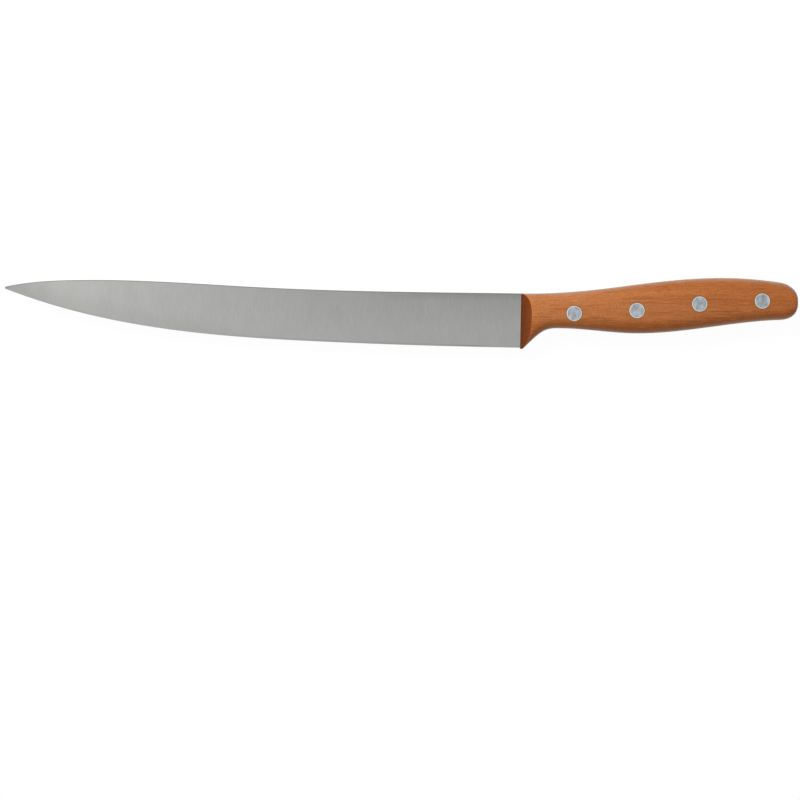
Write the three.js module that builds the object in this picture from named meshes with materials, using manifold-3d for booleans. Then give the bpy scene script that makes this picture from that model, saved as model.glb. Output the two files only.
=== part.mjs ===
// Fillet knife with a full tang: one piece of steel between two plum-wood scales, held by two-part rivets.
// Millimetres, +Z up. The knife lies on its right side: +X runs from the tip to the butt, +Y from the edge
// to the spine and +Z through the thickness. Outlines are drawn from the heel datum: x = 0 at the front of
// the handle, y = 0 at the spine there and z = 0 in the middle of the steel.
import * as THREE from 'three';
import { mergeVertices, toCreasedNormals } from 'three/addons/utils/BufferGeometryUtils.js';
import Module from 'manifold-3d';

// Blade outline
const bladeLength = 230; // tip to the front of the handle
const heelHeight = 24.15; // spine to edge at the front of the handle
const crownRise = 6; // highest point of the upswept spine above the heel datum
const crownFromTip = 41;
const tipRise = 2.6; // point of the blade above the heel datum
const tipHeight = 0.9; // blunt end of the point

// Blade thickness
const tangThickness = 2; // the tang, and the spine where it leaves the handle
const tipThickness = 0.6; // the spine at the point
const edgeThickness = 0.3; // the blade just above its cutting bevel
const bevelHeight = 0.9; // the cutting bevel, seen from the side
const apexThickness = 0.06; // the cutting edge itself
const runOutLength = 40; // run from the parallel tang down to the ground blade
const bluntLength = 6; // unsharpened edge in front of the handle
const honeRunOut = 18; // length over which the cutting bevel fades into it

// Handle outline
const handleLength = 123.7;
const chinDrop = 0.6; // front corner of the handle below the edge
const chinFromFront = 0.5;
const chinCornerRise = 0.45; // rounding in front of the chin
const chinRoundRun = 1.1; // rounding behind the chin
const chinRoundRise = 0.7;
const neckDepth = 15.5; // underside of the neck below the heel datum
const neckFromFront = 16.7;
const bellyDepth = 17.8; // underside of the palm swell below the heel datum
const bellyFromFront = 52.3;
const humpRise = 6.9; // highest point of the handle's back above the heel datum
const humpFromButt = 34.3;
const buttDepth = 3.7; // level of the butt's end below the heel datum
const buttTopRise = 3.45; // where the back and the belly would meet the butt if it weren't rounded
const buttBottomDepth = 11.8;
const buttRound = 8.7; // length of the butt's rounding, seen from the side

// Handle thickness, across both scales and the tang
const frontThickness = 13.4;
const swellThickness = 17.6;
const swellFromButt = 46;
const buttThickness = 15.6;
const buttEdgeRound = 1.5; // length of the butt's rounding, seen from above
const frontBevelRun = 4.85; // length of the slanting front face of a scale
const frontLean = 0.5; // how much further back the scales start at the spine than at the chin

// Rivets: a solid post pressed into a tubular socket, each with a head let into its scale and ground flush
const headDiameter = 7;
const shankDiameter = 5;
const postDiameter = 3.4;
const woodUnderHead = 3.2; // wood left between the tang and a rivet head
const rivetFromFront = 23.8;
const rivetFromButt = 16.2;
const rivetDrops = [1.5, 0.8, 0.3, 0.3]; // each rivet below the middle of the handle, from the front
const fitGap = 0.1; // clearance of the rivets in the wood, and of each post in its socket
const tangHoleGap = 0.2; // clearance of the rivet shanks in the tang

// Bends of the outlines between two ends: shares of their run and rise, and a multiple of their mean slope
const spineBend = { along: 0.62, up: 0.467, steepness: 1.65 }; // heel to crown
const edgeBend = { along: 0.383, up: 0.102, steepness: 0.4 }; // heel to tip
const backBend = { along: 0.5, up: 0.443, steepness: 1.74 }; // front to hump
const neckBend = { along: 0.56, up: 0.845, steepness: 0.98 }; // chin to neck

// Slopes at the ends of the outlines and of the handle's thickness
const spineHeelSlope = -0.013;
const edgeHeelSlope = -0.0153;
const spineTipSlope = 0.215;
const edgeTipSlope = -0.385;
const chinCornerSlope = -1.2;
const chinSlope = 0.95;
const backFrontSlope = -0.02;
const backButtSlope = -0.205;
const bellyButtSlope = -0.033;
const frontSwellSlope = 0.04;
const buttSwellSlope = -0.05;

// Roundness of the handle
const backPower = 2.5; // of a section's upper half: 2 is an ellipse, more is squarer
const bellyPower = 3.2; // of its lower half
const buttPower = 2.47; // of the butt, in the same way
const buttFlat = 0.2; // share of the last section left as the butt's end face

// Facets
const bladeSteps = 36;
const runOutSteps = 4;
const neckSteps = 9;
const gripSteps = 18;
const buttSteps = 7;
const sectionSides = 32;
const rivetSides = 24;
const creaseAngle = Math.PI / 6;

const wasm = await Module();
wasm.setup();

const steel = new THREE.MeshStandardMaterial({ color: 0xa9a9a7, roughness: 0.35, metalness: 1 });
const plumWood = new THREE.MeshStandardMaterial({ color: 0xb56c3e, roughness: 0.5, metalness: 0 });
const aluminium = new THREE.MeshStandardMaterial({ color: 0xa4a9ad, roughness: 0.4, metalness: 1 });

// Height over x through knots of [x, height, slope], as cubic curves joined end to end and level beyond them.
function curveThrough(knots) {
  const pieces = knots.slice(1).map(([endX, endY, endSlope], i) => {
    const [startX, startY, startSlope] = knots[i];
    const third = (endX - startX) / 3;
    return new THREE.CubicBezierCurve(
      new THREE.Vector2(startX, startY),
      new THREE.Vector2(startX + third, startY + third * startSlope),
      new THREE.Vector2(endX - third, endY - third * endSlope),
      new THREE.Vector2(endX, endY),
    );
  });
  const first = pieces[0].v0.x;
  const last = pieces[pieces.length - 1].v3.x;
  return (x) => {
    const held = THREE.MathUtils.clamp(x, first, last);
    const piece = pieces.find((p) => held <= p.v3.x);
    return piece.getPoint((held - piece.v0.x) / (piece.v3.x - piece.v0.x)).y;
  };
}

// A knot between two ends, at a share of their run and rise and at a multiple of their mean slope.
function knotBetween([startX, startY], [endX, endY], { along, up, steepness }) {
  const run = endX - startX;
  const rise = endY - startY;
  return [startX + along * run, startY + up * rise, (steepness * rise) / run];
}

// Blade outline, from tip to heel
const crown = [-(bladeLength - crownFromTip), crownRise, 0];
const spineHeel = [0, 0, spineHeelSlope];
const edgeHeel = [0, -heelHeight, edgeHeelSlope];
const edgeTip = [-bladeLength, tipRise - tipHeight / 2, edgeTipSlope];
const spineLine = curveThrough([
  [-bladeLength, tipRise + tipHeight / 2, spineTipSlope],
  crown,
  knotBetween(spineHeel, crown, spineBend),
  spineHeel,
]);
const edgeLine = curveThrough([edgeTip, knotBetween(edgeHeel, edgeTip, edgeBend), edgeHeel]);

// Handle outline, from front to butt
const chinDepth = heelHeight + chinDrop;
const chinRise = [chinFromFront + chinRoundRun, -chinDepth + chinRoundRise, chinSlope];
const neck = [neckFromFront, -neckDepth, 0];
const hump = [handleLength - humpFromButt, humpRise, 0];
const backFront = [0, 0, backFrontSlope];
const backLine = curveThrough([
  backFront,
  knotBetween(backFront, hump, backBend),
  hump,
  [handleLength, buttTopRise, backButtSlope],
]);
const bellyLine = curveThrough([
  [-frontLean / 2, -chinDepth + chinCornerRise, chinCornerSlope],
  [chinFromFront, -chinDepth, 0],
  chinRise,
  knotBetween(chinRise, neck, neckBend),
  neck,
  [bellyFromFront, -bellyDepth, 0],
  [handleLength, -buttBottomDepth, bellyButtSlope],
]);
const halfThicknessLine = curveThrough([
  [0, frontThickness / 2, frontSwellSlope],
  [handleLength - swellFromButt, swellThickness / 2, 0],
  [handleLength, buttThickness / 2, buttSwellSlope],
]);

// Share of the full size left at x by a rounding of some length, down to the small end face of the butt.
function buttRoll(x, length) {
  const along = Math.max(0, (x - handleLength + length) / length);
  return Math.max(buttFlat, (1 - Math.min(1, along) ** buttPower) ** (1 / buttPower));
}
const handleTop = (x) => -buttDepth + (backLine(x) + buttDepth) * buttRoll(x, buttRound);
const handleBottom = (x) => -buttDepth + (bellyLine(x) + buttDepth) * buttRoll(x, buttRound);
const handleHalfThickness = (x) => halfThicknessLine(x) * buttRoll(x, buttEdgeRound);

// Evenly spaced values, both ends included.
function spread(from, to, steps) {
  return Array.from({ length: steps + 1 }, (_, i) => from + ((to - from) * i) / steps);
}

// Places along the handle, closer together at the chin and round the butt.
function handleStations() {
  const chin = [0, chinFromFront, chinRise[0]];
  const neckPlaces = spread(chinRise[0], neckFromFront, neckSteps).slice(1);
  const grip = spread(neckFromFront, handleLength - buttRound, gripSteps).slice(1);
  const butt = spread(0, Math.PI / 2, buttSteps)
    .slice(1)
    .map((turn) => handleLength - buttRound * (1 - Math.sin(turn)));
  return [...chin, ...neckPlaces, ...grip, ...butt];
}

// Closed skin over a row of convex sections with equal numbers of points, listed anticlockwise seen from +X.
function loft(sections) {
  const points = sections.flat();
  const sides = sections[0].length;
  const last = points.length - sides;
  const index = [];
  for (let start = 0; start < last; start += sides) {
    for (let side = 0; side < sides; side++) {
      const a = start + side;
      const b = start + ((side + 1) % sides);
      index.push(a, b, b + sides, a, b + sides, a + sides);
    }
  }
  for (let side = 1; side < sides - 1; side++) {
    index.push(0, side + 1, side, last, last + side, last + side + 1);
  }
  const geometry = new THREE.BufferGeometry().setFromPoints(points);
  return geometry.setIndex(index);
}

// Closed geometry as a solid that can be joined and cut.
function solidOf(geometry) {
  const bare = geometry.clone();
  bare.deleteAttribute('normal');
  bare.deleteAttribute('uv');
  const merged = mergeVertices(bare);
  return new wasm.Manifold(
    new wasm.Mesh({
      numProp: 3,
      vertProperties: new Float32Array(merged.attributes.position.array),
      triVerts: new Uint32Array(merged.index.array),
    }),
  );
}

function meshOf(name, solid, material) {
  const { vertProperties, triVerts } = solid.getMesh();
  const geometry = new THREE.BufferGeometry();
  geometry.setAttribute('position', new THREE.BufferAttribute(vertProperties, 3));
  geometry.setIndex(new THREE.BufferAttribute(triVerts, 1));
  const mesh = new THREE.Mesh(toCreasedNormals(geometry, creaseAngle), material);
  mesh.name = name;
  return mesh;
}

// One section of the steel: wedge-ground with a cutting bevel on the blade, rectangular in the handle.
function steelSection(x) {
  const blade = x < 0;
  const top = blade ? spineLine(x) : handleTop(x);
  const bottom = blade || x === 0 ? edgeLine(x) : handleBottom(x);
  const ground = THREE.MathUtils.clamp(-x / runOutLength, 0, 1);
  const keen = THREE.MathUtils.clamp((-x - bluntLength) / honeRunOut, 0, 1);
  const atSpine = THREE.MathUtils.lerp(tangThickness, tipThickness, Math.max(0, -x / bladeLength)) / 2;
  const atShoulder = THREE.MathUtils.lerp(tangThickness, edgeThickness, ground) / 2;
  const atApex = THREE.MathUtils.lerp(atShoulder, apexThickness / 2, keen);
  const shoulder = bottom + Math.min(bevelHeight, (top - bottom) / 2);
  return [
    new THREE.Vector3(x, top, -atSpine),
    new THREE.Vector3(x, top, atSpine),
    new THREE.Vector3(x, shoulder, atShoulder),
    new THREE.Vector3(x, bottom, atApex),
    new THREE.Vector3(x, bottom, -atApex),
    new THREE.Vector3(x, shoulder, -atShoulder),
  ];
}

// The ground steel before it is drilled.
function steelBlank() {
  const blade = spread(0, Math.PI / 2, bladeSteps)
    .slice(0, -1)
    .map((turn) => -runOutLength - (bladeLength - runOutLength) * Math.cos(turn));
  const runOut = spread(-runOutLength, -bluntLength, runOutSteps);
  const stations = [...blade, ...runOut, ...handleStations()];
  return solidOf(loft(stations.map(steelSection)));
}

// One section of the whole handle, both scales and the tang together.
function handleSection(x) {
  const middle = (handleTop(x) + handleBottom(x)) / 2;
  const halfHeight = (handleTop(x) - handleBottom(x)) / 2;
  return spread(0, 2 * Math.PI, sectionSides)
    .slice(0, -1)
    .map((turn) => {
      const exponent = 2 / (Math.cos(turn) > 0 ? backPower : bellyPower);
      const power = (value) => Math.sign(value) * Math.abs(value) ** exponent;
      const up = middle + halfHeight * power(Math.cos(turn));
      return new THREE.Vector3(x, up, handleHalfThickness(x) * power(Math.sin(turn)));
    });
}

// The shaped handle before it is parted into scales, with some length to spare in front for the slanting cut.
function handleBlank() {
  const spare = frontLean;
  return solidOf(loft([-spare, ...handleStations()].map(handleSection)));
}

const tangFace = tangThickness / 2;
const headSeat = tangFace + woodUnderHead;
const clearOfHandle = swellThickness; // a level well outside the handle's surface
const sides = { left: 1, right: -1 }; // the left side of the knife faces +Z

// A round hole along Z from one level outwards, on one side of the knife.
function holeFrom(level, diameter, side) {
  const depth = clearOfHandle - level;
  const hole = new THREE.CylinderGeometry(diameter / 2, diameter / 2, depth, rivetSides);
  return hole.rotateX(Math.PI / 2).translate(0, 0, side * (level + depth / 2));
}

// A turned piece along Z from its profile of [radius, level], which starts and ends on the axis.
function turned(profile, side) {
  const points = profile.map(([radius, level]) => new THREE.Vector2(radius, level));
  return new THREE.LatheGeometry(points, rivetSides).rotateX((side * Math.PI) / 2);
}

// Everything in front of a scale's slanting face, which starts at the tang and leans back towards the spine.
function frontWedge(side) {
  const slant = frontBevelRun / (frontThickness / 2 - tangFace);
  const far = -clearOfHandle;
  const outline = new THREE.Shape([
    new THREE.Vector2(far, 0),
    new THREE.Vector2(-slant * tangFace, 0),
    new THREE.Vector2(slant * (clearOfHandle - tangFace), side * clearOfHandle),
    new THREE.Vector2(far, side * clearOfHandle),
  ]);
  const depth = 4 * chinDepth;
  return new THREE.ExtrudeGeometry(outline, { depth, bevelEnabled: false })
    .translate(0, 0, -depth / 2)
    .rotateX(Math.PI / 2)
    .rotateZ(-Math.atan2(frontLean, chinDepth))
    .translate(0, -chinDepth / 2, 0);
}

// Rivet axes, evenly spaced along the handle and a little below its middle.
const rivetPitch = (handleLength - rivetFromFront - rivetFromButt) / (rivetDrops.length - 1);
const rivetAxes = rivetDrops.map((drop, i) => {
  const x = rivetFromFront + i * rivetPitch;
  return { x, y: (handleTop(x) + handleBottom(x)) / 2 - drop };
});

// The blade and its tang, with holes for the rivet shanks.
function bladeSolid() {
  let blade = steelBlank();
  for (const { x, y } of rivetAxes) {
    const hole = holeFrom(-tangThickness, shankDiameter + 2 * tangHoleGap, sides.left);
    blade = blade.subtract(solidOf(hole.translate(x, y, 0)));
  }
  return blade;
}

// The wooden scale on one side of the tang, drilled for the rivet shanks and counterbored for their heads.
function scaleSolid(side) {
  const reach = 4 * handleLength;
  const halfSpace = new THREE.BoxGeometry(reach, reach, clearOfHandle);
  halfSpace.translate(0, 0, (side * clearOfHandle) / 2);
  const tangRoom = new THREE.BoxGeometry(reach, reach, tangThickness);
  let scale = handleBlank().intersect(solidOf(halfSpace));
  scale = scale.subtract(solidOf(tangRoom)).subtract(solidOf(frontWedge(side)));
  for (const { x, y } of rivetAxes) {
    const shankHole = holeFrom(0, shankDiameter + 2 * fitGap, side);
    const headHole = holeFrom(headSeat - fitGap, headDiameter + 2 * fitGap, side);
    scale = scale.subtract(solidOf(shankHole.translate(x, y, 0)));
    scale = scale.subtract(solidOf(headHole.translate(x, y, 0)));
  }
  return scale;
}

// A rivet's solid half: its head on the left, and a post that ends inside the socket.
function postBlank() {
  const end = fitGap - headSeat;
  const profile = [
    [0, end],
    [postDiameter / 2, end],
    [postDiameter / 2, headSeat],
    [headDiameter / 2, headSeat],
    [headDiameter / 2, clearOfHandle],
    [0, clearOfHandle],
  ];
  return turned(profile, sides.left);
}

// A rivet's tubular half: its head on the right, and a shank that ends under the other head.
function socketBlank() {
  const bore = postDiameter / 2 + fitGap;
  const mouth = fitGap - headSeat;
  const profile = [
    [0, headSeat],
    [bore, headSeat],
    [bore, mouth],
    [shankDiameter / 2, mouth],
    [shankDiameter / 2, headSeat],
    [headDiameter / 2, headSeat],
    [headDiameter / 2, clearOfHandle],
    [0, clearOfHandle],
  ];
  return turned(profile, sides.right);
}

const knife = new THREE.Group();
const assembly = new THREE.Group();
knife.add(assembly);

assembly.add(meshOf('blade', bladeSolid(), steel));
for (const [name, side] of Object.entries(sides)) {
  assembly.add(meshOf(`${name}_scale`, scaleSolid(side), plumWood));
}
const flushWith = handleBlank(); // rivet heads are ground down to the handle's surface
rivetAxes.forEach(({ x, y }, i) => {
  const post = solidOf(postBlank().translate(x, y, 0)).intersect(flushWith);
  const socket = solidOf(socketBlank().translate(x, y, 0)).intersect(flushWith);
  assembly.add(meshOf(`rivet_${i + 1}_post`, post, aluminium));
  assembly.add(meshOf(`rivet_${i + 1}_socket`, socket, aluminium));
});

// The part's origin is the middle of the knife's box, at the level it lies on.
const box = new THREE.Box3().setFromObject(assembly);
const middle = box.getCenter(new THREE.Vector3());
assembly.position.set(-middle.x, -middle.y, -box.min.z);

export default knife;
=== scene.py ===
import math

import bmesh
import bpy
import numpy as np
from mathutils import Matrix, Vector


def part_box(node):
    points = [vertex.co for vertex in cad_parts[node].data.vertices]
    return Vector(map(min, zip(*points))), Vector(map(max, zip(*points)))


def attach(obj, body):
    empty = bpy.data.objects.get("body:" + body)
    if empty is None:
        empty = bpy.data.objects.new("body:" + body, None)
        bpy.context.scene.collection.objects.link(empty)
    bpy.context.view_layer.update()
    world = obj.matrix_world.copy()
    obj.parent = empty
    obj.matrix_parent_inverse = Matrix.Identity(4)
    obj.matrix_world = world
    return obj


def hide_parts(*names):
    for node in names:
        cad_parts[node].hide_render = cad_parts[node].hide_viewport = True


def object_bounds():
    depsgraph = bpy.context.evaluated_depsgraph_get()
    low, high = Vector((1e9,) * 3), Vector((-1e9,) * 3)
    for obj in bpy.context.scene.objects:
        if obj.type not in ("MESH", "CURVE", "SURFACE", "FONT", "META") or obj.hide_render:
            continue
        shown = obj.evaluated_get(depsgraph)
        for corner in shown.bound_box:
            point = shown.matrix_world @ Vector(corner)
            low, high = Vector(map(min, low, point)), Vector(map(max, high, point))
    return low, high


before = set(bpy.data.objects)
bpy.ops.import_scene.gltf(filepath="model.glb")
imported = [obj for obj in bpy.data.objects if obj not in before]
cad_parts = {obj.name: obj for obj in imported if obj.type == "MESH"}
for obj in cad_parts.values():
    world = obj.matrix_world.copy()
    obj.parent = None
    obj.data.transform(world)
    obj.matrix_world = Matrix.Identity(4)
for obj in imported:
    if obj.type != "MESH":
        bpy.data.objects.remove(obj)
cad_low, cad_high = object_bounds()

# Fillet knife: a blade with a full tang between two plum-wood scales, held by four two-part rivets.
# The pieces are drawn in millimetres from the heel datum, where the spine meets the front of the handle in
# the middle of the steel: x runs to the butt, y to the spine and z to the left side.
MM = 0.001

# Blade outline
CROWN_RISE = 6  # top of the upswept spine above the heel datum
CROWN_FROM_TIP = 41
TIP_RISE = 2.6
TIP_HEIGHT = 0.9
TIP_ROUND = 0.5
HEEL_HEIGHT = 24.15

# Blade grind
TIP_THICKNESS = 0.6
EDGE_THICKNESS = 0.3  # at the shoulder of the honed edge
APEX_THICKNESS = 0.06
BEVEL_HEIGHT = 0.9
RUN_OUT_LENGTH = 40  # over which the grind fades out before the handle
BLUNT_LENGTH = 6  # of the heel that isn't honed
BLUNT_CHAMFER = 0.15
HONE_RUN_OUT = 18
SPINE_ROUND = 0.35
GRIND_BULGE = 0.06

# Handle outline
HANDLE_LENGTH = 123.7
CHIN_DROP = 0.6  # of the chin below the blade's heel
CHIN_DEPTH = HEEL_HEIGHT + CHIN_DROP
CHIN_FROM_FRONT = 0.5
CHIN_CORNER_RISE = 0.45
CHIN_ROUND_RUN = 1.1
CHIN_ROUND_RISE = 0.7
NECK_DEPTH = 15.5
NECK_FROM_FRONT = 16.7
BELLY_DEPTH = 17.8
BELLY_FROM_FRONT = 52.3
HUMP_RISE = 6.9
HUMP_FROM_BUTT = 34.3
BUTT_DEPTH = 3.7
BUTT_TOP_RISE = 3.45
BUTT_BOTTOM_DEPTH = 11.8
BUTT_ROUND = 8.7
BUTT_POWER = 2.47
BUTT_END = 0.16  # share of its height left at the last section

# Handle thickness
FRONT_THICKNESS = 13.4
SWELL_FROM_BUTT = 46
BUTT_THICKNESS = 15.6
BUTT_EDGE_ROUND = 1.5
BACK_POWER = 2.5  # how square its section is towards the back
BELLY_POWER = 3.2
FRONT_BEVEL_RUN = 4.85
FRONT_LEAN = 0.5
FRONT_EDGE_ROUND = 0.25

# Bends of the outlines between two ends: shares of their run and rise, and a multiple of their mean slope
SPINE_BEND = (0.62, 0.467, 1.65)  # heel to crown
EDGE_BEND = (0.383, 0.102, 0.4)  # heel to tip
BACK_BEND = (0.5, 0.443, 1.74)  # front to hump
NECK_BEND = (0.56, 0.845, 0.98)  # chin to neck

# Slopes at the ends of the outlines and of the handle's thickness
SPINE_HEEL_SLOPE = -0.013
EDGE_HEEL_SLOPE = -0.0153
SPINE_TIP_SLOPE = 0.215
EDGE_TIP_SLOPE = -0.385
CHIN_CORNER_SLOPE = -1.2
CHIN_SLOPE = 0.95
BACK_FRONT_SLOPE = -0.02
BACK_BUTT_SLOPE = -0.205
BELLY_BUTT_SLOPE = -0.033
FRONT_SWELL_SLOPE = 0.04
BUTT_SWELL_SLOPE = -0.05

# Rivets
RIVETS = range(1, 5)
SHANK_RADIUS = 2.5
POST_RADIUS = 1.7
WOOD_UNDER_HEAD = 3.2
FIT_GAP = 0.1
TANG_HOLE_GAP = 0.2
HEAD_RIM = 0.35
RIM_ROUND = HEAD_RIM / 3
HEAD_PROUD = 0.02
GROOVE_WIDTH = 0.11
GROOVE_DEPTH = 0.5

# View: what it spans at the knife, and where the knife lies in it
VIEW_SPAN = 356.8
TIP_FROM_LEFT = 2.2
HEEL_FROM_TOP = 130.9
CAMERA_DISTANCE = 4000
SENSOR_WIDTH = 36
CLIP_END = 100  # metres

# The frame gives the rest
blade_low, blade_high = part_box("blade")
HEEL = Vector((
    blade_high.x - HANDLE_LENGTH * MM,
    blade_high.y - HUMP_RISE * MM,
    (blade_low.z + blade_high.z) / 2,
))
BLADE_LENGTH = (HEEL.x - blade_low.x) / MM
TANG_FACE = (blade_high.z - blade_low.z) / 2 / MM
SWELL_THICKNESS = (cad_high.z - cad_low.z) / MM
HEAD_SEAT = TANG_FACE + WOOD_UNDER_HEAD
post_low, post_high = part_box("rivet_1_post")
HEAD_RADIUS = (post_high.x - post_low.x) / 2 / MM
TO_FRAME = Matrix.Translation(HEEL) @ Matrix.Scale(MM, 4)


def rivet_axis(number):
    """A rivet's axis in millimetres from the heel datum, as the frame places it."""
    low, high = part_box(f"rivet_{number}_post")
    centre = ((low + high) / 2 - HEEL) / MM
    return centre.x, centre.y


RIVET_AXES = {number: rivet_axis(number) for number in RIVETS}


# Curves
def between(start, end, share):
    """What lies at a share of the way from start to end."""
    return start + (end - start) * share


def smooth_step(t):
    """A share from 0 to 1 that sets off and arrives gently."""
    t = np.clip(t, 0, 1)
    return t * t * (3 - 2 * t)


def curve_through(knots):
    """Height over x through knots of (x, height, slope), as cubic pieces joined end to end."""
    xs, ys, slopes = (np.array(column, float) for column in zip(*knots))

    def height(x):
        held = np.clip(x, xs[0], xs[-1])
        i = np.clip(np.searchsorted(xs, held, side="right") - 1, 0, len(xs) - 2)
        run = xs[i + 1] - xs[i]
        t = (held - xs[i]) / run
        start = (1 + 2 * t) * ys[i] + run * t * slopes[i]
        end = (3 - 2 * t) * ys[i + 1] - run * (1 - t) * slopes[i + 1]
        return start * (1 - t) ** 2 + end * t ** 2

    return height


def knot_between(start, end, bend):
    """A knot at a share of the run and rise between two others, and at a multiple of their mean slope."""
    along, up, steepness = bend
    run = end[0] - start[0]
    rise = end[1] - start[1]
    return (start[0] + along * run, start[1] + up * rise, steepness * rise / run)


# Outlines
crown = (CROWN_FROM_TIP - BLADE_LENGTH, CROWN_RISE, 0)
spine_heel = (0, 0, SPINE_HEEL_SLOPE)
edge_heel = (0, -HEEL_HEIGHT, EDGE_HEEL_SLOPE)
edge_tip = (-BLADE_LENGTH, TIP_RISE - TIP_HEIGHT / 2, EDGE_TIP_SLOPE)
spine_tip = (-BLADE_LENGTH, TIP_RISE + TIP_HEIGHT / 2, SPINE_TIP_SLOPE)
spine_line = curve_through([spine_tip, crown, knot_between(spine_heel, crown, SPINE_BEND), spine_heel])
edge_line = curve_through([edge_tip, knot_between(edge_heel, edge_tip, EDGE_BEND), edge_heel])

back_front = (0, 0, BACK_FRONT_SLOPE)
hump = (HANDLE_LENGTH - HUMP_FROM_BUTT, HUMP_RISE, 0)
chin_corner = (-FRONT_LEAN / 2, CHIN_CORNER_RISE - CHIN_DEPTH, CHIN_CORNER_SLOPE)
chin = (CHIN_FROM_FRONT, -CHIN_DEPTH, 0)
chin_rise = (CHIN_FROM_FRONT + CHIN_ROUND_RUN, CHIN_ROUND_RISE - CHIN_DEPTH, CHIN_SLOPE)
neck = (NECK_FROM_FRONT, -NECK_DEPTH, 0)
back_line = curve_through([
    back_front,
    knot_between(back_front, hump, BACK_BEND),
    hump,
    (HANDLE_LENGTH, BUTT_TOP_RISE, BACK_BUTT_SLOPE),
])
belly_line = curve_through([
    chin_corner,
    chin,
    chin_rise,
    knot_between(chin_rise, neck, NECK_BEND),
    neck,
    (BELLY_FROM_FRONT, -BELLY_DEPTH, 0),
    (HANDLE_LENGTH, -BUTT_BOTTOM_DEPTH, BELLY_BUTT_SLOPE),
])
half_thickness_line = curve_through([
    (0, FRONT_THICKNESS / 2, FRONT_SWELL_SLOPE),
    (HANDLE_LENGTH - SWELL_FROM_BUTT, SWELL_THICKNESS / 2, 0),
    (HANDLE_LENGTH, BUTT_THICKNESS / 2, BUTT_SWELL_SLOPE),
])


# Handle sections
def other_side(share, power):
    """The other coordinate of a point on a rounded section, both as shares of their greatest value."""
    return (1 - np.clip(share, 0, 1) ** power) ** (1 / power)


def butt_roll(x, length):
    """Share of the full size left at x by the rounding of the butt over some length."""
    return other_side((x - HANDLE_LENGTH + length) / length, BUTT_POWER)


def handle_section(x):
    """Middle, half height and half thickness of the handle at x."""
    roll = butt_roll(x, BUTT_ROUND)
    back = (back_line(x) + BUTT_DEPTH) * roll - BUTT_DEPTH
    belly = (belly_line(x) + BUTT_DEPTH) * roll - BUTT_DEPTH
    return (back + belly) / 2, (back - belly) / 2, half_thickness_line(x) * butt_roll(x, BUTT_EDGE_ROUND)


def handle_level(x, y):
    """Level of the handle's surface above the middle of the steel at x, y."""
    middle, half_height, half_thickness = handle_section(x)
    power = np.where(y > middle, BACK_POWER, BELLY_POWER)
    return half_thickness * other_side(np.abs(y - middle) / half_height, power)


# Mesh making
FLAT_ANGLE = math.radians(35)  # between two faces, from which their edge is sharp
MERGE_DISTANCE = 1e-4
SMALLEST_EDGE = 1e-5
ROUND_SIDES = 64
ROUND_TURNS = np.linspace(0, 2 * math.pi, ROUND_SIDES, endpoint=False)


def new_piece(name, points, faces, materials, face_materials, creases=()):
    """A mesh object from points in millimetres, smooth but for sharp edges and lines of crease points."""
    mesh = bpy.data.meshes.new(name)
    mesh.from_pydata([tuple(p) for p in points], [], faces)
    for material in materials:
        mesh.materials.append(material)
    mesh.polygons.foreach_set("material_index", face_materials)
    piece = bpy.data.objects.new(name, mesh)
    bpy.context.scene.collection.objects.link(piece)
    finish_mesh(mesh, creases)
    return piece


def finish_mesh(mesh, creases=()):
    """Merges doubled points, turns the faces outwards and sets which edges are sharp."""
    crease_points = set(creases)
    work = bmesh.new()
    work.from_mesh(mesh)
    layer = work.verts.layers.int.new("crease_line")
    work.verts.ensure_lookup_table()
    for vertex in work.verts:
        vertex[layer] = vertex.index in crease_points
    bmesh.ops.remove_doubles(work, verts=work.verts, dist=MERGE_DISTANCE)
    bmesh.ops.dissolve_degenerate(work, edges=work.edges, dist=SMALLEST_EDGE)
    bmesh.ops.recalc_face_normals(work, faces=work.faces)
    for edge in work.edges:
        creased = all(vertex[layer] for vertex in edge.verts)
        edge.smooth = not creased and edge.calc_face_angle(0) < FLAT_ANGLE
    for face in work.faces:
        face.smooth = True
    work.verts.layers.int.remove(layer)
    work.to_mesh(mesh)
    work.free()
    mesh.update()


def strip_faces(rows, columns, closed):
    """Quads over a grid of points stored row by row."""
    faces = []
    for row in range(rows - 1):
        for column in range(columns if closed else columns - 1):
            a = row * columns + column
            b = row * columns + (column + 1) % columns
            faces.append((a, b, b + columns, a + columns))
    return faces


def circle(x, y, radius):
    """The x and y of points round an axis."""
    return x + radius * np.cos(ROUND_TURNS), y + radius * np.sin(ROUND_TURNS)


def turned_piece(name, x, y, rings, materials=(), rim_strips=()):
    """A turned solid: rings of a radius and a level or levels, joined by quads and closed by fans.

    The strips between rings that are listed as rim strips have the second material.
    """
    points = []
    for radius, level in rings:
        points.append(np.column_stack([*circle(x, y, radius), np.broadcast_to(level, ROUND_TURNS.shape)]))
    points.append([(x, y, np.mean(rings[0][1])), (x, y, np.mean(rings[-1][1]))])
    faces = strip_faces(len(rings), ROUND_SIDES, closed=True)
    face_materials = []
    for strip in range(len(rings) - 1):
        face_materials += [int(strip in rim_strips)] * ROUND_SIDES
    first_middle = len(rings) * ROUND_SIDES
    last_ring = first_middle - ROUND_SIDES
    for side in range(ROUND_SIDES):
        after = (side + 1) % ROUND_SIDES
        faces.append((side, after, first_middle))
        faces.append((last_ring + side, last_ring + after, first_middle + 1))
        face_materials += [0, 0]
    return new_piece(name, np.concatenate(points), faces, materials, face_materials)


def cut_away(piece, cutters):
    """Takes the cutters away from a piece and removes them."""
    for cutter in cutters:
        modifier = piece.modifiers.new(cutter.name, "BOOLEAN")
        modifier.operation = "DIFFERENCE"
        modifier.solver = "EXACT"
        modifier.object = cutter
        modifier.material_mode = "TRANSFER"
    graph = bpy.context.evaluated_depsgraph_get()
    cut = bpy.data.meshes.new_from_object(piece.evaluated_get(graph))
    piece.modifiers.clear()
    piece.data = cut
    for cutter in cutters:
        bpy.data.objects.remove(cutter)


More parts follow.
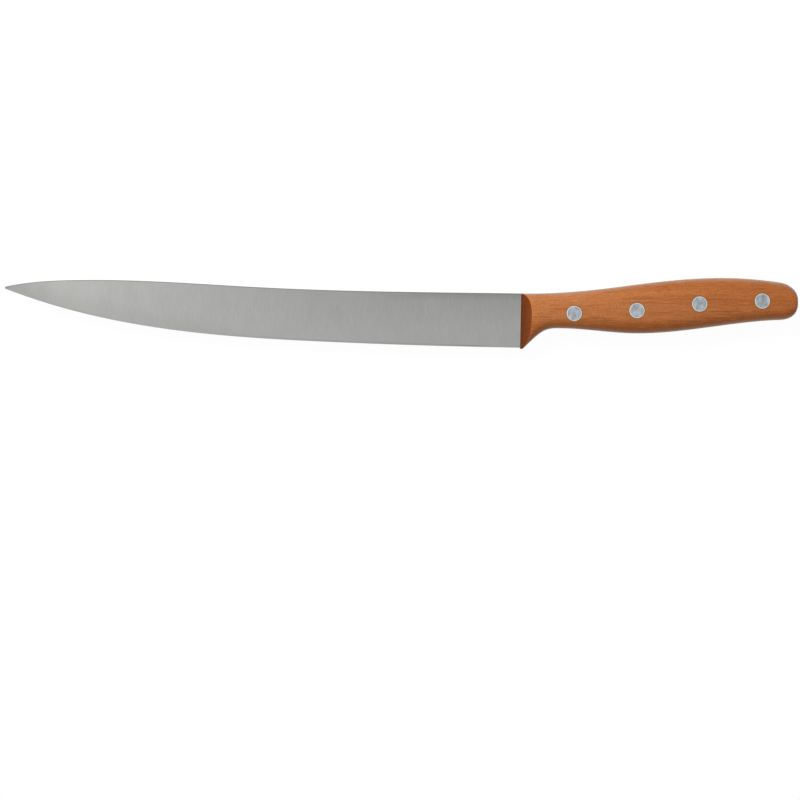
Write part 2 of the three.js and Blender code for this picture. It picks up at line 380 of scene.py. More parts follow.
def turn_over(mesh):
    """Mirrors a mesh to the other side of the steel."""
    mesh.transform(Matrix.Scale(-1, 4, Vector((0, 0, 1))))
    mesh.flip_normals()


# Places along the knife at which its sections are drawn, and the steps down the steel's side
TIP_STATIONS = 6
TIP_FIRST_TURN = 0.25
BLADE_STATIONS = 120
RUN_OUT_STATIONS = 20
BLUNT_STATIONS = 13
TANG_START = 0.02
CHIN_RUN = 2.4
CHIN_STATIONS = 17
NECK_STATIONS = 30
GRIP_STATIONS = 90
BUTT_STATIONS = 26
SPINE_ARC_STEPS = 4
SPINE_TURNS = np.linspace(0, math.pi / 2, SPINE_ARC_STEPS + 1)
SIDE_STEPS = 10
FIRST_SIDE_STEP = 0.01


def handle_stations():
    """Places along the handle, closer together at the chin and round the butt."""
    chin_run = np.linspace(0, CHIN_RUN, CHIN_STATIONS)
    neck_run = np.linspace(CHIN_RUN, NECK_FROM_FRONT, NECK_STATIONS)[1:]
    grip = np.linspace(NECK_FROM_FRONT, HANDLE_LENGTH - BUTT_ROUND, GRIP_STATIONS)[1:]
    last_turn = math.asin(other_side(BUTT_END, BUTT_POWER))
    butt = HANDLE_LENGTH - BUTT_ROUND * (1 - np.sin(np.linspace(0, last_turn, BUTT_STATIONS)[1:]))
    return np.concatenate([chin_run, neck_run, grip, butt])


def steel_stations():
    """Places along the steel, closer together at the tip, the heel, the chin and the butt."""
    tip_turns = np.linspace(TIP_FIRST_TURN, math.pi / 2, TIP_STATIONS)
    tip = -BLADE_LENGTH + TIP_ROUND * (1 - np.cos(tip_turns))
    blade_turns = np.linspace(0, math.pi / 2, BLADE_STATIONS)[1:]
    blade = -RUN_OUT_LENGTH + (tip[-1] + RUN_OUT_LENGTH) * np.cos(blade_turns)
    run_out = np.linspace(-RUN_OUT_LENGTH, -BLUNT_LENGTH, RUN_OUT_STATIONS)[1:]
    blunt = np.linspace(-BLUNT_LENGTH, 0, BLUNT_STATIONS)[1:]
    return np.concatenate([tip, blade, run_out, blunt, [TANG_START], handle_stations()[1:]])


# Blade
ROUND_OF_THICKNESS = 0.8  # most of the half thickness that the spine's rounding takes
ROUND_OF_HEIGHT = 0.6  # most of the half height that it takes
BEVEL_OF_HEIGHT = 0.4  # most of the height that the honed edge takes
SIDE, RIM, HONED = range(3)


def tang_borders(x):
    """Heights down the tang's rounded back at x, the size of that rounding, and the tang's lower border."""
    middle, half_height, half_thickness = handle_section(x)
    tang_share = TANG_FACE / half_thickness
    heel = edge_line(0)
    bottom = middle - half_height * other_side(tang_share, BELLY_POWER)
    bottom = max(bottom, between(heel, bottom, smooth_step(x / CHIN_FROM_FRONT)))
    rim_drop = half_height * (1 - other_side(tang_share, BACK_POWER))
    arc_y = middle + half_height - rim_drop * (SPINE_TURNS / SPINE_TURNS[-1]) ** 2
    return arc_y, SPINE_ROUND, bottom


def blade_borders(x, at_spine):
    """Heights down the blade's rounded spine at x, the size of that rounding, and the cutting edge."""
    from_tip = min(1, (x + BLADE_LENGTH) / TIP_ROUND)
    point = math.sqrt(1 - (1 - from_tip) ** 2)
    centre = (spine_line(x) + edge_line(x)) / 2
    half_height = (spine_line(x) - edge_line(x)) / 2 * point
    arc_round = min(SPINE_ROUND, ROUND_OF_THICKNESS * at_spine, ROUND_OF_HEIGHT * half_height)
    arc_y = centre + half_height - arc_round * (1 - np.cos(SPINE_TURNS))
    return arc_y, arc_round, centre - half_height


def steel_half_section(x):
    """Points (y, z) down one side of the steel at x, from the spine to the cutting edge."""
    ground = smooth_step(-x / RUN_OUT_LENGTH)
    keen = smooth_step((-x - BLUNT_LENGTH) / HONE_RUN_OUT)
    at_spine = between(TANG_FACE, TIP_THICKNESS / 2, max(0, -x / BLADE_LENGTH))
    at_shoulder = between(TANG_FACE, EDGE_THICKNESS / 2, ground)
    at_heel = at_shoulder - BLUNT_CHAMFER * smooth_step(-x / BLUNT_LENGTH)
    at_apex = between(at_heel, APEX_THICKNESS / 2, keen)
    arc_y, arc_round, bottom = tang_borders(x) if x > 0 else blade_borders(x, at_spine)
    arc_z = at_spine - arc_round * (1 - np.sin(SPINE_TURNS))
    height = arc_y[0] - bottom
    bevel_height = min(between(BLUNT_CHAMFER, BEVEL_HEIGHT, keen), BEVEL_OF_HEIGHT * height)
    down = np.concatenate([[FIRST_SIDE_STEP], np.linspace(0, 1, SIDE_STEPS)[1:]])
    side_y = between(arc_y[-1], bottom + bevel_height, down)
    bulge = GRIND_BULGE * ground * min(1, height / HEEL_HEIGHT)
    side_z = between(at_spine, at_shoulder, down) + bulge * 4 * down * (1 - down)
    ys = np.concatenate([arc_y, side_y, [bottom]])
    zs = np.concatenate([arc_z, side_z, [at_apex]])
    return np.column_stack([ys, zs])


def steel_surface(x, segment, columns):
    """Which surface a face of the steel belongs to: its ground side, its rim or its honed edge."""
    from_spine = min(segment, columns - 2 - segment)
    if segment == columns - 1 or from_spine < SPINE_ARC_STEPS:
        return RIM
    if segment == columns // 2 - 1:
        return HONED if x < -BLUNT_LENGTH - HONE_RUN_OUT else RIM
    if from_spine >= SPINE_ARC_STEPS + SIDE_STEPS:
        return HONED if x < -BLUNT_LENGTH else RIM
    return SIDE


def drill_tang(blade):
    """Drills the tang for the rivets."""
    radius = SHANK_RADIUS + TANG_HOLE_GAP
    rings = [(radius, -2 * TANG_FACE), (radius, 2 * TANG_FACE)]
    drills = [turned_piece(f"tang_hole_{number}", x, y, rings) for number, (x, y) in RIVET_AXES.items()]
    cut_away(blade, drills)


def make_blade(side_steel, spine_steel, edge_steel):
    """The blade and its tang, in one piece."""
    stations = steel_stations()
    points = []
    for x in stations:
        half = steel_half_section(float(x))
        points += [(x, y, z) for y, z in half]
        points += [(x, y, -z) for y, z in half[::-1]]
    columns = len(half) * 2
    faces = strip_faces(len(stations), columns, closed=True)
    surfaces = [steel_surface(x, segment, columns) for x in stations[:-1] for segment in range(columns)]
    faces += [tuple(range(columns)), tuple(range(len(points) - columns, len(points)))]
    surfaces += [RIM, RIM]
    shoulder = SPINE_ARC_STEPS + SIDE_STEPS
    shoulders = (shoulder, columns - 1 - shoulder)
    honed_rows = [row for row, x in enumerate(stations) if x <= -BLUNT_LENGTH]
    creases = [row * columns + line for row in honed_rows for line in shoulders]
    materials = [side_steel, spine_steel, edge_steel]
    blade = new_piece("steel_blade", points, faces, materials, surfaces, creases)
    drill_tang(blade)
    return blade


# Scales
SCALE_COLUMNS = 72
FRONT_FACE_STEPS = 5
FRONT_ROUND_STEPS = 4
FRONT_FIT_ROUNDS = 60
ROUND_OF_FACE = 0.4  # most of the front face's width that its rounded edge takes
SMALLEST_DEPTH = 1e-9


def scale_line(x, share):
    """Points of a scale's surface at x, across its section from the back's rim to the belly's rim."""
    middle, half_height, half_thickness = handle_section(x)
    tang_share = np.clip(TANG_FACE / half_thickness, 0, 1)
    first = np.arcsin(tang_share ** (BACK_POWER / 2))
    last = math.pi - np.arcsin(tang_share ** (BELLY_POWER / 2))
    turn = between(first, last, share)
    exponent = 2 / np.where(turn < math.pi / 2, BACK_POWER, BELLY_POWER)
    across = np.sign(np.cos(turn)) * np.abs(np.cos(turn)) ** exponent
    up = np.abs(np.sin(turn)) ** exponent
    return np.stack([x, middle + half_height * across, half_thickness * up], axis=-1)


def front_of_tang(y):
    """Where the scale's slanting front face meets the tang, which leans back towards the spine."""
    return (y + CHIN_DEPTH / 2) * FRONT_LEAN / CHIN_DEPTH


def front_edge(share):
    """Where along the handle the slanting front face meets the grip, for points across the section."""
    slant = FRONT_BEVEL_RUN / (FRONT_THICKNESS / 2 - TANG_FACE)
    front_x = np.zeros_like(share)
    for _ in range(FRONT_FIT_ROUNDS):
        edge = scale_line(front_x, share)
        front_x = front_of_tang(edge[:, 1]) + slant * (edge[:, 2] - TANG_FACE)
    return front_x


def scale_points():
    """Rows of points over a scale: its front face from the tang outwards, its rounded edge and its grip."""
    share = np.linspace(0, 1, SCALE_COLUMNS + 1)
    front_x = front_edge(share)
    edge = scale_line(front_x, share)
    inner = np.column_stack([front_of_tang(edge[:, 1]), edge[:, 1], np.full_like(share, TANG_FACE)])
    inward = inner - edge
    depth = np.linalg.norm(inward, axis=1)
    round_size = np.minimum(FRONT_EDGE_ROUND, ROUND_OF_FACE * depth)
    on_face = edge + inward * (round_size / np.maximum(depth, SMALLEST_DEPTH))[:, None]
    start = front_x + round_size
    on_grip = scale_line(start, share)
    rows = [between(inner, on_face, t) for t in np.linspace(0, 1, FRONT_FACE_STEPS + 1)]
    for t in np.linspace(0, 1, FRONT_ROUND_STEPS + 1)[1:]:
        rows.append((1 - t) ** 2 * on_face + 2 * t * (1 - t) * edge + t * t * on_grip)
    stations = handle_stations()
    for along in stations[1:] / stations[-1]:
        rows.append(scale_line(between(start, stations[-1], along), share))
    return np.array(rows)


def scale_faces(rows, columns):
    """Faces over a scale's rows of points, its flat side on the tang and its last section."""
    faces = strip_faces(rows, columns, closed=False)
    back_rim = [row * columns for row in range(rows)]
    belly_rim = [index + columns - 1 for index in back_rim]
    first = FRONT_FACE_STEPS + FRONT_ROUND_STEPS + 1
    faces.append((*range(columns), belly_rim[first], back_rim[first]))
    for row in range(first, rows - 1):
        faces.append((back_rim[row], belly_rim[row], belly_rim[row + 1], back_rim[row + 1]))
    faces.append(tuple(range((rows - 1) * columns, rows * columns)))
    return faces


def hole_cutter(number, end_grain):
    """A turned solid for a rivet's shank hole and the counterbore of its head, on the left side."""
    shank = SHANK_RADIUS + FIT_GAP
    head = HEAD_RADIUS + FIT_GAP
    seat = HEAD_SEAT - FIT_GAP
    rings = [(shank, 0), (shank, seat), (head, seat), (head, SWELL_THICKNESS)]
    return turned_piece(f"hole_{number}", *RIVET_AXES[number], rings, [end_grain])


def make_scales(wood, end_grain):
    """The left scale, drilled for the rivets, and the right scale as its mirror image."""
    grid = scale_points()
    rows, columns = grid.shape[:2]
    faces = scale_faces(rows, columns)
    front_faces = FRONT_FACE_STEPS * (columns - 1)
    face_materials = [1] * front_faces + [0] * (len(faces) - front_faces)
    points = grid.reshape(-1, 3)
    left = new_piece("left_wood_scale", points, faces, [wood, end_grain], face_materials)
    cut_away(left, [hole_cutter(number, end_grain) for number in RIVETS])
    finish_mesh(left.data)
    right = bpy.data.objects.new("right_wood_scale", left.data.copy())
    turn_over(right.data)
    bpy.context.scene.collection.objects.link(right)
    return left, right


# Rivets
HEAD_FACE_RINGS = 7
FIRST_RING_SHARE = 0.15
RIM_STRIPS = (HEAD_FACE_RINGS - 1, HEAD_FACE_RINGS)


def head_rings(x, y):
    """Rings of a rivet head from its middle to its seat, following the surface of the handle."""
    edge = HEAD_RADIUS - GROOVE_WIDTH
    face = edge - HEAD_RIM
    proud = [*(np.linspace(FIRST_RING_SHARE, 1, HEAD_FACE_RINGS) * face), edge - RIM_ROUND]
    profile = [(radius, HEAD_PROUD) for radius in proud]
    profile += [(edge, -HEAD_PROUD), (HEAD_RADIUS, -GROOVE_DEPTH)]
    rings = [(radius, handle_level(*circle(x, y, radius)) + rise) for radius, rise in profile]
    return rings + [(HEAD_RADIUS, HEAD_SEAT)]


def make_rivet(number, materials):
    """Both halves of a rivet: the post with its head on the left, and the socket with its on the right."""
    axis = RIVET_AXES[number]
    head = head_rings(*axis)
    end = FIT_GAP - HEAD_SEAT
    post_shank = [(POST_RADIUS, HEAD_SEAT), (POST_RADIUS, end + FIT_GAP), (POST_RADIUS - FIT_GAP, end)]
    post = turned_piece(f"rivet_post_{number}", *axis, head + post_shank, materials, RIM_STRIPS)
    bore = POST_RADIUS + FIT_GAP
    socket_shank = [(SHANK_RADIUS, HEAD_SEAT), (SHANK_RADIUS, end), (bore, end), (bore, HEAD_SEAT)]
    socket = turned_piece(f"rivet_socket_{number}", *axis, head + socket_shank, materials, RIM_STRIPS)
    turn_over(socket.data)
    return post, socket


# Material making
def srgb(red, green, blue):
    """A colour written as it shows on screen, 0 to 255, as the linear colour that shaders take."""
    channels = []
    for value in (red, green, blue):
        share = value / 255
        channels.append(share / 12.92 if share <= 0.04045 else ((share + 0.055) / 1.055) ** 2.4)
    return (*channels, 1)


def add_node(tree, kind, inputs=None, **settings):
    """Adds a node with its settings; each input is a value or another node's output."""
    node = tree.nodes.new(kind)
    for name, value in settings.items():
        setattr(node, name, value)
    for name, value in (inputs or {}).items():
        if isinstance(value, bpy.types.NodeSocket):
            tree.links.new(value, node.inputs[name])
        else:
            node.inputs[name].default_value = value
    return node


def math_node(tree, operation, first, second=0.0, third=0.0):
    """The result of a sum, product or other operation on values or other nodes' outputs."""
    return add_node(tree, "ShaderNodeMath", {0: first, 1: second, 2: third}, operation=operation).outputs[0]


def mix_colours(tree, share, first, second):
    """A colour at a share of the way from the first to the second."""
    return add_node(tree, "ShaderNodeMix", {0: share, 6: first, 7: second}, data_type="RGBA").outputs[2]


def split(tree, vector):
    """The x, y and z of a vector."""
    return add_node(tree, "ShaderNodeSeparateXYZ", {0: vector}).outputs


def ramp(tree, value, span, last, first=0.0):
    """Goes from first to last while a value crosses a span, and stays there on either side."""
    start, end = span
    inputs = {"Value": value, "From Min": start, "From Max": end, "To Min": first, "To Max": last}
    return add_node(tree, "ShaderNodeMapRange", inputs).outputs[0]


def noise(tree, coordinates, cells, detail=2.0, distortion=0.0):
    """Noise with a number of cells per metre in each direction."""
    placed = add_node(tree, "ShaderNodeMapping", {"Vector": coordinates, "Scale": cells}).outputs[0]
    inputs = {"Vector": placed, "Scale": 1.0, "Detail": detail, "Distortion": distortion}
    return add_node(tree, "ShaderNodeTexNoise", inputs).outputs[0]


def new_material(name):
    """A material with its node tree, its shader and the coordinates on the knife, in metres."""
    material = bpy.data.materials.new(name)
    material.use_nodes = True
    tree = material.node_tree
    shader = tree.nodes["Principled BSDF"]
    coordinates = add_node(tree, "ShaderNodeTexCoord").outputs["Object"]
    return material, tree, shader, coordinates


def add_relief(tree, shader, height, strength, depth):
    """Fine relief that only shows in the light on the surface, with a depth in metres."""
    bump = add_node(tree, "ShaderNodeBump", {"Strength": strength, "Distance": depth, "Height": height})
    tree.links.new(bump.outputs[0], shader.inputs["Normal"])


# Steel's change of tone: shares to add between its dark and its light, which on the blade's side are painted
# shade and painted reflection
TIP_SHADE_LENGTH = 25
TIP_PAINTED_SHADE = -0.58
EDGE_SWEEP = 0.21  # slope of the band of painted shade that follows the edge up to the tip
SWEEP_LEVELS = (-20.5, -26.5)
SWEEP_PAINTED_SHADE = -0.17
TWIST = 170  # per square metre
TWIST_FROM_HEEL = 153
TWIST_LIMIT = 0.13
HEEL_SHADE = -0.3
HEEL_SHADE_START = 68
HEEL_SHADE_FULL = 40
SHADE_DEPTH = 3.5
SHADE_FULL_DEPTH = 0.7
SPINE_DRIFT_SPAN = (110, 195)  # from the tip
SPINE_DRIFT = (0.08, -0.27)
EDGE_DRIFT_SPAN = (25, 132)
EDGE_DRIFT = (-0.23, 0.15)


def painted_side_tone(tree, coordinates):
    """Slow change of tone over the blade's side, painted in as shade and reflection.

    It is painted darker at the tip, along the edge there and at the spine near the heel, and it turns from
    paler at the spine towards the tip to paler at the edge towards the heel, as painted reflection.
    """
    x, y, _ = split(tree, coordinates)
    # Painted shade at the tip and along the edge there
    at_tip = ramp(tree, x, (blade_low.x + TIP_SHADE_LENGTH * MM, blade_low.x), TIP_PAINTED_SHADE)
    above_sweep = math_node(tree, "MULTIPLY_ADD", x, EDGE_SWEEP, y)
    at_sweep = ramp(tree, above_sweep, [level * MM for level in SWEEP_LEVELS], SWEEP_PAINTED_SHADE)
    # Painted reflection: paler at the spine towards the tip, paler at the edge towards the heel
    past_pivot = math_node(tree, "SUBTRACT", x, HEEL.x - TWIST_FROM_HEEL * MM)
    across = math_node(tree, "MULTIPLY", past_pivot, y)
    twist = math_node(tree, "MINIMUM", math_node(tree, "MULTIPLY", across, -TWIST), TWIST_LIMIT)
    # Painted shade at the spine near the heel
    to_heel = [HEEL.x - length * MM for length in (HEEL_SHADE_START, HEEL_SHADE_FULL)]
    near_heel = ramp(tree, x, to_heel, HEEL_SHADE)
    to_spine = [HEEL.y - depth * MM for depth in (SHADE_DEPTH, SHADE_FULL_DEPTH)]
    near_spine = ramp(tree, y, to_spine, 1.0)
    painted_shade = math_node(tree, "ADD", at_tip, at_sweep)
    painted_shade = math_node(tree, "MULTIPLY_ADD", near_heel, near_spine, painted_shade)
    return math_node(tree, "ADD", twist, painted_shade)


def drift_along(tree, coordinates, span, shares):
    """Change of tone along the blade, from one share to another over a span from the tip."""
    x = split(tree, coordinates)[0]
    first, last = shares
    return ramp(tree, x, [blade_low.x + length * MM for length in span], last, first)


def spine_drift(tree, coordinates):
    """The spine is darker towards the heel."""
    return drift_along(tree, coordinates, SPINE_DRIFT_SPAN, SPINE_DRIFT)


def edge_drift(tree, coordinates):
    """The honed edge is darker towards the tip."""
    return drift_along(tree, coordinates, EDGE_DRIFT_SPAN, EDGE_DRIFT)


# Metal grain: cells of its fine lines and its broad streaks, per metre along x, y and z
ACROSS_BLADE = ((5000, 240, 240), (160, 70, 70))
ALONG_BLADE = ((70, 7000, 7000), (22, 900, 900))
RIVET_GRAIN = ((3000, 500, 500), (520, 380, 380))
LINE_ROUGHNESS = 0.12  # how far the fine lines change the roughness
LINE_STRENGTH = 0.25
LINE_DEPTH = 0.00001


def metal_material(name, dark, light, grain, roughness, broad_share=0.5, contrast=1.0, drift=None):
    """Satin metal between a dark and a light tone, with fine lines and broader soft streaks."""
    material, tree, shader, coordinates = new_material(name)
    fine_cells, broad_cells = grain
    fine = noise(tree, coordinates, fine_cells, detail=3)
    broad = noise(tree, coordinates, broad_cells, detail=2)
    streaks = math_node(tree, "MULTIPLY", broad, broad_share)
    share = math_node(tree, "MULTIPLY_ADD", fine, 1 - broad_share, streaks)
    share = math_node(tree, "MULTIPLY_ADD", share, contrast, (1 - contrast) / 2)
    if drift:
        share = math_node(tree, "ADD", share, drift(tree, coordinates))
    tree.links.new(mix_colours(tree, share, srgb(*dark), srgb(*light)), shader.inputs["Base Color"])
    rough = math_node(tree, "MULTIPLY_ADD", fine, LINE_ROUGHNESS, roughness - LINE_ROUGHNESS / 2)
    tree.links.new(rough, shader.inputs["Roughness"])
    add_relief(tree, shader, fine, LINE_STRENGTH, LINE_DEPTH)
    shader.inputs["Metallic"].default_value = 1
    return material


def ground_steel():
    """The blade's sides, ground across."""
    dark, light = (135, 135, 133), (163, 163, 161)
    return metal_material(
        "ground_steel", dark, light, ACROSS_BLADE, roughness=0.34, broad_share=0.25, drift=painted_side_tone
    )


def spine_steel():
    """The spine and the other narrow faces, ground along."""
    dark, light = (104, 104, 103), (146, 146, 145)
    return metal_material(
        "spine_steel", dark, light, ALONG_BLADE, roughness=0.42, contrast=0.4, drift=spine_drift
    )


def honed_steel():
    """The honed edge, ground along."""
    dark, light = (130, 130, 130), (156, 156, 156)
    return metal_material(
        "honed_steel", dark, light, ALONG_BLADE, roughness=0.3, contrast=0.7, drift=edge_drift
    )


def satin_aluminium():
    """The rivets' faces, with mottled grinding marks."""
    dark, light = (116, 125, 133), (187, 193, 198)
    return metal_material("satin_aluminium", dark, light, RIVET_GRAIN, roughness=0.38, contrast=2.5)


def rim_highlight_aluminium():
    """The rivets' rims, painted bright as a painted highlight."""
    # Painted highlight: paler than the faces
    dark, light = (202, 196, 188), (226, 217, 206)
    return metal_material("rim_highlight_aluminium", dark, light, RIVET_GRAIN, roughness=0.4)


# Plum wood: cells of its grain per metre along x, y and z
FIGURE_CELLS = (14, 210, 210)
FIBRE_CELLS = (200, 2300, 2300)
STREAK_CELLS = (32, 1000, 1000)
PORE_CELLS = (2000, 3200, 3200)

# Plum wood: colours
PALE_WOOD = srgb(208, 136, 85)
GOLDEN_WOOD = srgb(190, 104, 36)
# Painted shade on the belly side
UNDER_SHADE_WOOD = srgb(151, 80, 4)
# Painted sheen along the back and belly
PAINTED_SHEEN_WOOD = srgb(218, 164, 122)
PALE_FIBRE = srgb(226, 158, 110)
DARK_FIBRE = srgb(146, 68, 24)
STREAK = srgb(146, 78, 32)
PORE = srgb(128, 68, 28)

# Plum wood: where its colours lie, as spans of a facing, a place or a grain, and how strong they are
# Painted shade: darker and more golden where the surface faces the belly and low on the handle
DOWNWARD_SPAN = (-0.15, -0.8)  # of the surface's facing towards the spine
DOWNWARD_SHADE_SHARE = 0.25
LOW_SPAN = (-0.002, -0.008)  # metres up from the middle of the knife's height
LOW_SHADE_SHARE = 0.28
GOLD_AT_MIDDLE = -0.27
GOLD_TO_BUTT = 3.5  # per metre
GOLD_IN_SHADE = 1.9
GOLD_IN_FIGURE = 0.9
# Painted sheen where the surface faces the spine or the belly
PAINTED_SHEEN_SPAN = (0.7, 1.0)  # of the facing towards the spine or the belly
PAINTED_SHEEN_SHARE = 0.4
PALE_FIBRE_SPAN = (0.5, 0.75)
DARK_FIBRE_SPAN = (0.5, 0.25)
FIBRE_SHARE = 0.3
STREAK_SPAN = (0.54, 0.74)
STREAK_SHARE = 0.62
PORE_SPAN = (0.52, 0.68)
PORE_SHARE = 0.68

# Plum wood: surface
FIBRE_ROUGHNESS = 0.16
WOOD_ROUGHNESS = 0.34
FIBRE_RELIEF = 0.5
WOOD_STRENGTH = 0.2
WOOD_DEPTH = 0.00003
WOOD_GLOSS = 0.12
WOOD_SHEEN = 0.35


def wood_colour(tree, coordinates):
    """The wood's colour beneath its grain: golden towards the butt, and golden and darker at the belly as
    painted shade.

    It is painted paler along its back and belly, as a painted sheen.
    """
    figure = noise(tree, coordinates, FIGURE_CELLS, detail=3, distortion=0.5)
    x, y, _ = split(tree, coordinates)
    facing = add_node(tree, "ShaderNodeTexCoord").outputs["Normal"]
    facing_spine = split(tree, facing)[1]
    # Painted shade where the surface faces the belly and low on the handle
    shade_turned_down = ramp(tree, facing_spine, DOWNWARD_SPAN, DOWNWARD_SHADE_SHARE)
    painted_under_shade = math_node(tree, "ADD", shade_turned_down, ramp(tree, y, LOW_SPAN, LOW_SHADE_SHARE))
    golden = math_node(tree, "MULTIPLY_ADD", x, GOLD_TO_BUTT, GOLD_AT_MIDDLE)
    golden = math_node(tree, "MULTIPLY_ADD", painted_under_shade, GOLD_IN_SHADE, golden)
    golden = math_node(tree, "MULTIPLY_ADD", figure, GOLD_IN_FIGURE, golden)
    colour = mix_colours(tree, golden, PALE_WOOD, GOLDEN_WOOD)
    colour = mix_colours(tree, painted_under_shade, colour, UNDER_SHADE_WOOD)
    # Painted sheen: paler where the surface faces the spine or the belly
    sideways = math_node(tree, "ABSOLUTE", facing_spine)
    return mix_colours(tree, ramp(tree, sideways, PAINTED_SHEEN_SPAN, PAINTED_SHEEN_SHARE), colour, PAINTED_SHEEN_WOOD)


def plum_wood():
    """Oiled plum wood with pale and dark fibres, streaks and pores."""
    material, tree, shader, coordinates = new_material("plum_wood")
    fibre = noise(tree, coordinates, FIBRE_CELLS, detail=3, distortion=0.2)
    streak = noise(tree, coordinates, STREAK_CELLS, detail=2)
    pore = noise(tree, coordinates, PORE_CELLS, detail=2)
    in_pore = ramp(tree, pore, PORE_SPAN, PORE_SHARE)
    layers = [
        (ramp(tree, fibre, PALE_FIBRE_SPAN, FIBRE_SHARE), PALE_FIBRE),
        (ramp(tree, fibre, DARK_FIBRE_SPAN, FIBRE_SHARE), DARK_FIBRE),
        (ramp(tree, streak, STREAK_SPAN, STREAK_SHARE), STREAK),
        (in_pore, PORE),
    ]
    colour = wood_colour(tree, coordinates)
    for share, grain_colour in layers:
        colour = mix_colours(tree, share, colour, grain_colour)
    tree.links.new(colour, shader.inputs["Base Color"])
    rough = math_node(tree, "MULTIPLY_ADD", fibre, FIBRE_ROUGHNESS, WOOD_ROUGHNESS)
    tree.links.new(rough, shader.inputs["Roughness"])
    relief = math_node(tree, "SUBTRACT", math_node(tree, "MULTIPLY", fibre, FIBRE_RELIEF), in_pore)
    add_relief(tree, shader, relief, WOOD_STRENGTH, WOOD_DEPTH)
    shader.inputs["Specular IOR Level"].default_value = WOOD_GLOSS
    shader.inputs["Sheen Weight"].default_value = WOOD_SHEEN
    return material


# End grain of the plum wood
PATCH_CELLS = (500, 500, 500)
END_PORE_CELLS = (2400, 2400, 2400)
END_DARK = srgb(97, 47, 21)
END_PALE = srgb(147, 75, 34)
END_PORE = srgb(76, 36, 14)
# Painted shade next to the steel, fading outwards
SHADE_FADE_OUTWARDS = 0.7
SHADE_AT_STEEL = -0.15
PALE_IN_PATCH = 0.6
END_PORE_SPAN = (0.56, 0.7)
END_PORE_SHARE = 0.6
END_STRENGTH = 0.3
END_DEPTH = 0.00004
END_ROUGHNESS = 0.62
END_GLOSS = 0.1


def plum_end_grain():
    """Plum wood cut across its fibres: dark and dull, with painted shade next to the steel that leaves it
    paler away from it, and open pores.
    """
    material, tree, shader, coordinates = new_material("plum_end_grain")
    patch = noise(tree, coordinates, PATCH_CELLS, detail=3)
    pore = noise(tree, coordinates, END_PORE_CELLS, detail=2)
    level = split(tree, coordinates)[2]
    # Painted shade next to the steel, paler outwards
    from_steel = math_node(tree, "ABSOLUTE", math_node(tree, "SUBTRACT", level, HEEL.z))
    outwards = ramp(tree, from_steel, (TANG_FACE * MM, FRONT_THICKNESS / 2 * MM), SHADE_FADE_OUTWARDS)
    paler = math_node(tree, "ADD", outwards, SHADE_AT_STEEL)
    paler = math_node(tree, "MULTIPLY_ADD", patch, PALE_IN_PATCH, paler)
    colour = mix_colours(tree, paler, END_DARK, END_PALE)
    colour = mix_colours(tree, ramp(tree, pore, END_PORE_SPAN, END_PORE_SHARE), colour, END_PORE)
    tree.links.new(colour, shader.inputs["Base Color"])
    add_relief(tree, shader, patch, END_STRENGTH, END_DEPTH)
    shader.inputs["Roughness"].default_value = END_ROUGHNESS
    shader.inputs["Specular IOR Level"].default_value = END_GLOSS
    return material


# Pieces
blade = make_blade(ground_steel(), spine_steel(), honed_steel())
left_scale, right_scale = make_scales(plum_wood(), plum_end_grain())
rivet_materials = [satin_aluminium(), rim_highlight_aluminium()]

pieces = [(blade, "blade_steel", "blade")]
pieces += [(left_scale, "plum_wood", "left_scale"), (right_scale, "plum_wood", "right_scale")]
for number in RIVETS:
    post, socket = make_rivet(number, rivet_materials)
    pieces.append((post, "rivet_aluminium", f"rivet_{number}_post"))
    pieces.append((socket, "rivet_aluminium", f"rivet_{number}_socket"))
for piece, slot, node in pieces:
    piece.data.transform(TO_FRAME)
    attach(piece, "root")
    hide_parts(node)


# Floor and lights, in metres and watts
FLOOR_SIZE = 8
FLOOR_GLOW = 0.95
FLOOR_GREY = (0.3, 0.3, 0.3, 1)  # for the light that it sends back to the knife
FLOOR_FAINT = (0.1, 0.1, 0.1, 1)  # for the shadow that shows on it
WHITE = (1, 1, 1, 1)
AMBIENT = 0.42
KEY_POWER = 1.4
KEY_SIZE = 0.35
KEY_PLACE = (-0.12, 0.265, 0.305)
KEY_AIM = (0.11, 0, 0)
CARD_POWER = 1.17
CARD_SIZE = (0.6, 0.8)
CARD_PLACE = (-0.4, 0.1, 0.6)


def seen_directly(tree):
    """1 for rays from the camera and for reflections and refractions, 0 for light that is gathered."""
    path = add_node(tree, "ShaderNodeLightPath").outputs
    either = math_node(tree, "MAXIMUM", path["Is Camera Ray"], path["Is Glossy Ray"])
    return math_node(tree, "MAXIMUM", either, path["Is Transmission Ray"])


def floor_white():
    """White where it is seen, with a faint shadow, and grey for the light that it sends back."""
    material = bpy.data.materials.new("floor_white")
    material.use_nodes = True
    tree = material.node_tree
    tree.nodes.clear()
    paper = add_node(tree, "ShaderNodeBsdfDiffuse", {"Color": FLOOR_GREY}).outputs[0]
    faint = add_node(tree, "ShaderNodeBsdfDiffuse", {"Color": FLOOR_FAINT}).outputs[0]
    glow = add_node(tree, "ShaderNodeEmission", {"Strength": FLOOR_GLOW}).outputs[0]
    lit = add_node(tree, "ShaderNodeAddShader", {0: faint, 1: glow}).outputs[0]
    mixed = add_node(tree, "ShaderNodeMixShader", {0: seen_directly(tree), 1: paper, 2: lit}).outputs[0]
    add_node(tree, "ShaderNodeOutputMaterial", {"Surface": mixed})
    return material


def make_floor():
    """The white surface that the knife lies on."""
    half = FLOOR_SIZE / 2
    mesh = bpy.data.meshes.new("floor")
    corners = [(-half, -half, 0), (half, -half, 0), (half, half, 0), (-half, half, 0)]
    mesh.from_pydata(corners, [], [(0, 1, 2, 3)])
    mesh.materials.append(floor_white())
    floor = bpy.data.objects.new("floor", mesh)
    floor.location.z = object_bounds()[0].z
    bpy.context.scene.collection.objects.link(floor)


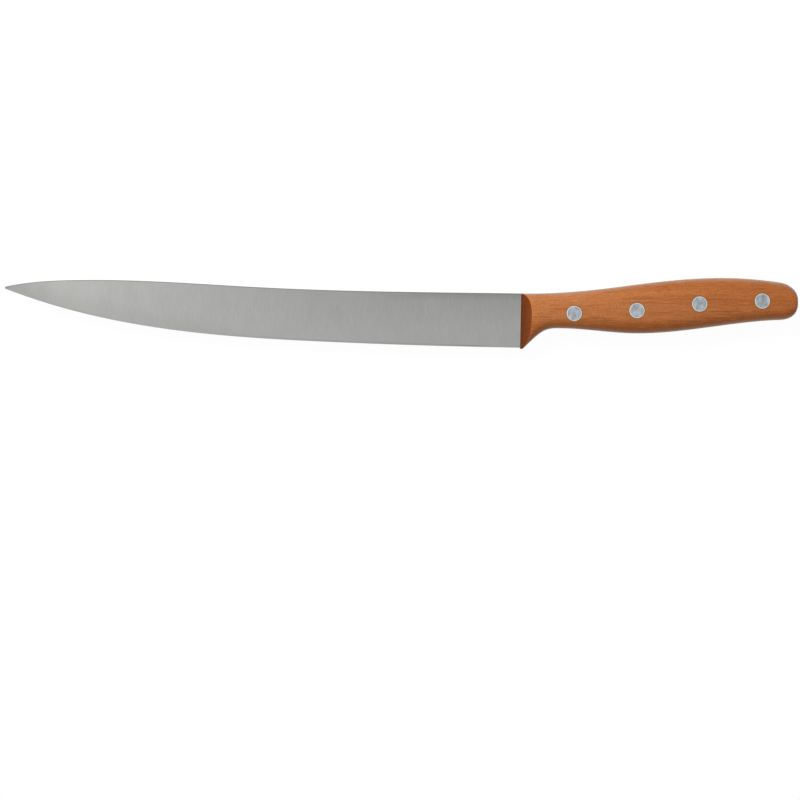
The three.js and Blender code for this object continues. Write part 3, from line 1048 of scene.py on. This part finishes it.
def make_world():
    """White where it is seen, and a softer light on the knife from all round."""
    world = bpy.data.worlds.new("studio")
    bpy.context.scene.world = world
    world.use_nodes = True
    tree = world.node_tree
    tree.nodes.clear()
    gathered = add_node(tree, "ShaderNodeBackground", {"Color": WHITE, "Strength": AMBIENT}).outputs[0]
    shown = add_node(tree, "ShaderNodeBackground", {"Color": WHITE, "Strength": 1}).outputs[0]
    mixed = add_node(tree, "ShaderNodeMixShader", {0: seen_directly(tree), 1: gathered, 2: shown}).outputs[0]
    add_node(tree, "ShaderNodeOutputWorld", {"Surface": mixed})


def make_key_light():
    """The main soft light, from the left and from beyond the knife's back."""
    lamp = bpy.data.lights.new("key", "AREA")
    lamp.shape = "DISK"
    lamp.size = KEY_SIZE
    lamp.energy = KEY_POWER
    light = bpy.data.objects.new("key", lamp)
    light.location = KEY_PLACE
    light.rotation_mode = "QUATERNION"
    light.rotation_quaternion = (Vector(KEY_AIM) - Vector(KEY_PLACE)).to_track_quat("-Z", "Y")
    light.visible_camera = False
    light.visible_glossy = False
    bpy.context.scene.collection.objects.link(light)


def make_card():
    """A bright card over the tip, which only shows as a reflection."""
    lamp = bpy.data.lights.new("card", "AREA")
    lamp.shape = "RECTANGLE"
    lamp.size, lamp.size_y = CARD_SIZE
    lamp.energy = CARD_POWER
    card = bpy.data.objects.new("card", lamp)
    card.location = CARD_PLACE
    card.visible_camera = False
    card.visible_diffuse = False
    bpy.context.scene.collection.objects.link(card)


def make_camera():
    """A camera far above the knife's left side."""
    data = bpy.data.cameras.new("camera")
    data.sensor_width = SENSOR_WIDTH
    data.lens = SENSOR_WIDTH * CAMERA_DISTANCE / VIEW_SPAN
    data.clip_end = CLIP_END
    camera = bpy.data.objects.new("camera", data)
    across = VIEW_SPAN / 2 - TIP_FROM_LEFT - BLADE_LENGTH
    up = HEEL_FROM_TOP - VIEW_SPAN / 2
    camera.location = HEEL + Vector((across, up, CAMERA_DISTANCE)) * MM
    bpy.context.scene.collection.objects.link(camera)
    bpy.context.scene.camera = camera


make_floor()
make_world()
make_key_light()
make_card()
make_camera()
bpy.context.scene.view_settings.view_transform = "Standard"
